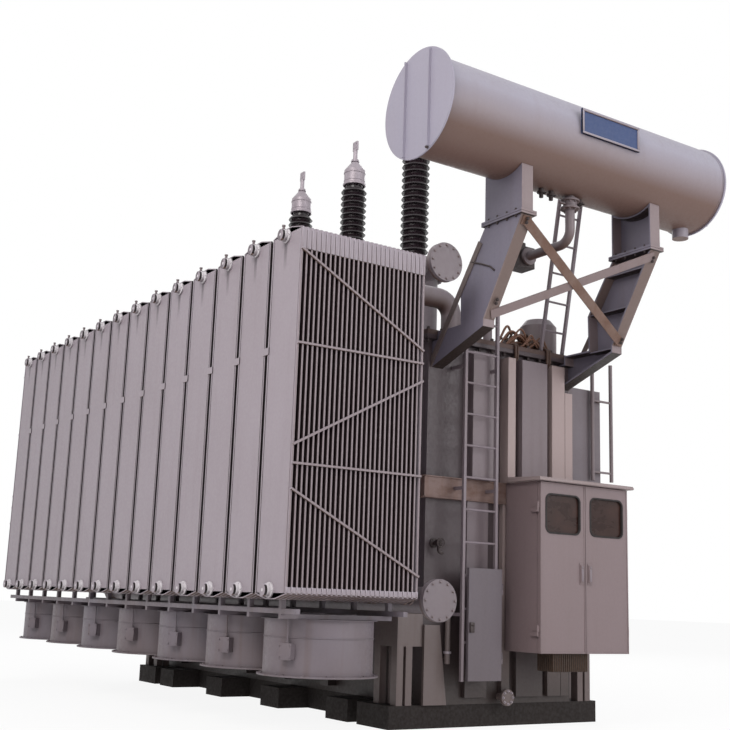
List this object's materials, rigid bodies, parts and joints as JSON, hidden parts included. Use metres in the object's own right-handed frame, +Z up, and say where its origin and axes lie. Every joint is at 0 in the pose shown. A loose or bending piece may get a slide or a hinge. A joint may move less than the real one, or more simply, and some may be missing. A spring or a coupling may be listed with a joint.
{
  "type": "power transformer",
  "caption": "Oil-filled power transformer with a side bank of finned radiators over fans, a conservator on arms, cover bushings and a control cabinet.",
  "frame": {"origin": "on the underside of the base frame, below the centre of the tank", "axes": "+X towards the near end with the conservator and the cabinet, -Y towards the radiators, +Z up"},
  "size_m": [7.9329, 4.552, 6.396],
  "materials": {
    "radiator_paint": "satin grey paint",
    "tank_paint": "weathered grey paint",
    "conservator_paint": "satin light grey paint",
    "arm_paint": "satin blue-grey paint",
    "brace_paint": "rusting grey-brown paint",
    "cabinet_paint": "matt light grey paint",
    "pipe_paint": "satin grey paint",
    "base_steel": "dark dirty steel",
    "porcelain": "dark brown glaze",
    "bright_metal": "cast aluminium",
    "fan_metal": "grey paint",
    "dark_metal": "dark paint",
    "window_glass": "dark brown glass",
    "panel_blue": "blue panel with a whitish frame",
    "ladder_paint": "grey paint"
  },
  "bodies": {
    "transformer": {"base_frame": "base_steel", "tank_body": "tank_paint", "tank_cover": "tank_paint", "tank_belt": "brace_paint", "tank_ribs": "tank_paint", "jacking_brackets": "tank_paint", "corner_buttresses": "tank_paint", "radiators": "radiator_paint", "radiator_straps": "radiator_paint", "manifolds": "pipe_paint", "crossover_pipes": "pipe_paint", "fan_shrouds": "fan_metal", "fan_impellers": "dark_metal", "fan_frame": "fan_metal", "fan_boxes": "fan_metal", "bushing_turrets": "tank_paint", "bushing_caps": "bright_metal", "bushing_porcelains": "porcelain", "conservator_barrel": "conservator_paint", "conservator_ends": "conservator_paint", "name_panel": "panel_blue", "arms": "arm_paint", "saddles": "arm_paint", "cross_brace_inner": "brace_paint", "cross_brace_outer": "brace_paint", "arm_stays": "brace_paint", "oil_pipes": "pipe_paint", "gas_relay": "dark_metal", "tap_changer_head": "pipe_paint", "manhole_covers": "tank_paint", "cover_ladder": "ladder_paint", "end_ladder": "ladder_paint", "guard_hinges": "ladder_paint", "cabinet_body": "cabinet_paint", "cabinet_roof": "cabinet_paint", "cabinet_brackets": "tank_paint", "cable_duct": "brace_paint", "cable_box": "tank_paint", "breather_pipes": "pipe_paint", "wall_fittings": "pipe_paint"},
    "door_left": {"cabinet_door_left": "cabinet_paint", "cabinet_window_left": "window_glass"},
    "door_right": {"cabinet_door_right": "cabinet_paint", "cabinet_window_right": "window_glass"},
    "ladder_guard": {"guard_door": "cabinet_paint"}
  },
  "joints": [
    {"name": "cabinet_door_left_hinge", "type": "hinge", "parent": "transformer", "child": "door_left", "pos_m": [3.3, 0.001, 1.46], "axis": [0, 0, 1], "range_deg": [-100, 0]},
    {"name": "cabinet_door_right_hinge", "type": "hinge", "parent": "transformer", "child": "door_right", "pos_m": [3.3, 1.162, 1.46], "axis": [0, 0, 1], "range_deg": [0, 100]},
    {"name": "ladder_guard_hinge", "type": "hinge", "parent": "transformer", "child": "ladder_guard", "pos_m": [3.007, -0.171, 0.92], "axis": [0, 0, 1], "range_deg": [0, 95]}
  ]
}
